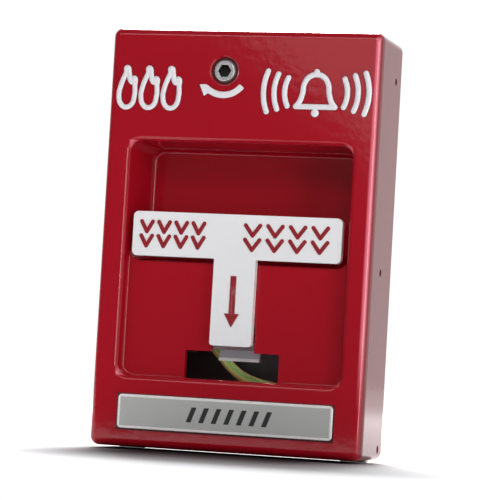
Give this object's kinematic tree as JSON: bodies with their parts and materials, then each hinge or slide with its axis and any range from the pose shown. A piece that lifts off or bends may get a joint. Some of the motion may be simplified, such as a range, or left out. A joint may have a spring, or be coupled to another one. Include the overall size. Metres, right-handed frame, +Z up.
{
  "type": "manual call point",
  "caption": "Surface call point for a wall box: hinged die-cast cover with a finger pocket, pull-down T handle, key lock, internal switch and terminals.",
  "frame": {"origin": "centre between the two wall screws, on the wall plane", "axes": "+Z up along the unit, -Y out of the front towards the user, +X to the right of someone facing it"},
  "size_m": [0.0826, 0.027, 0.1245],
  "materials": {
    "red_enamel": "glossy powder enamel on a die casting",
    "white_paint": "white paint on raised marks",
    "white_enamel": "white enamel on a die casting",
    "red_ink": "red filled marks",
    "plate_metal": "satin brushed name plate",
    "zinc_plated": "bright zinc plated",
    "cast_back": "unpainted die casting",
    "lever_steel": "satin steel",
    "lock_chrome": "nickel plated",
    "black_plastic": "moulded black",
    "red_plastic": "moulded red",
    "clear_nylon": "natural nylon",
    "brass_contact": "plain brass",
    "green_insulation": "green insulation with a yellow stripe",
    "green_screw": "green dyed ground screw",
    "black_insulation": "black insulation",
    "white_insulation": "white insulation"
  },
  "bodies": {
    "base": {"back_plate": "cast_back", "lock_keeper": "zinc_plated", "keeper_rivets": "zinc_plated", "ground_screw": "green_screw", "ground_lug": "zinc_plated", "ground_lead": "green_insulation", "lead_cap": "clear_nylon", "lead_clip": "clear_nylon"},
    "cover": {"cover": "red_enamel", "flame_marks": "white_paint", "bell_mark": "white_paint", "turn_arrow": "white_paint", "nameplate": "plate_metal", "hinge_pins": "zinc_plated", "handle_pin": "zinc_plated", "retaining_rings": "lever_steel", "friction_washers": "lever_steel", "switch_body": "black_plastic", "switch_tabs": "brass_contact", "switch_screws": "zinc_plated", "terminal_block": "black_plastic", "terminal_screws": "zinc_plated", "block_screws": "zinc_plated", "lead_short": "black_insulation", "lead_long": "white_insulation"},
    "handle": {"pull_handle": "white_enamel", "pull_chevrons": "red_ink", "pull_arrow": "red_ink", "pull_lever": "lever_steel", "lever_rivets": "zinc_plated"},
    "lock": {"lock_screw": "lock_chrome", "lock_cam": "zinc_plated", "lock_nut": "zinc_plated"},
    "plunger": {"switch_plunger": "red_plastic"}
  },
  "joints": [
    {"name": "cover_hinge", "type": "hinge", "parent": "base", "child": "cover", "pos_m": [0, -0.0052, -0.0586], "axis": [1, 0, 0], "range_deg": [0, 95]},
    {"name": "handle_pull", "type": "hinge", "parent": "cover", "child": "handle", "pos_m": [0, -0.0144, -0.029], "axis": [1, 0, 0], "range_deg": [0, 40]},
    {"name": "lock_turn", "type": "hinge", "parent": "cover", "child": "lock", "pos_m": [-0.006, -0.02, 0.0496], "axis": [0, 1, 0], "range_deg": [0, 90]},
    {"name": "plunger_travel", "type": "slide", "parent": "cover", "child": "plunger", "axis": [0, 0, 1], "range_m": [0, 0.003]}
  ],
  "couplings": [
    {"joint": "plunger_travel", "follows": "handle_pull", "m_per_rad": 0.00422}
  ]
}
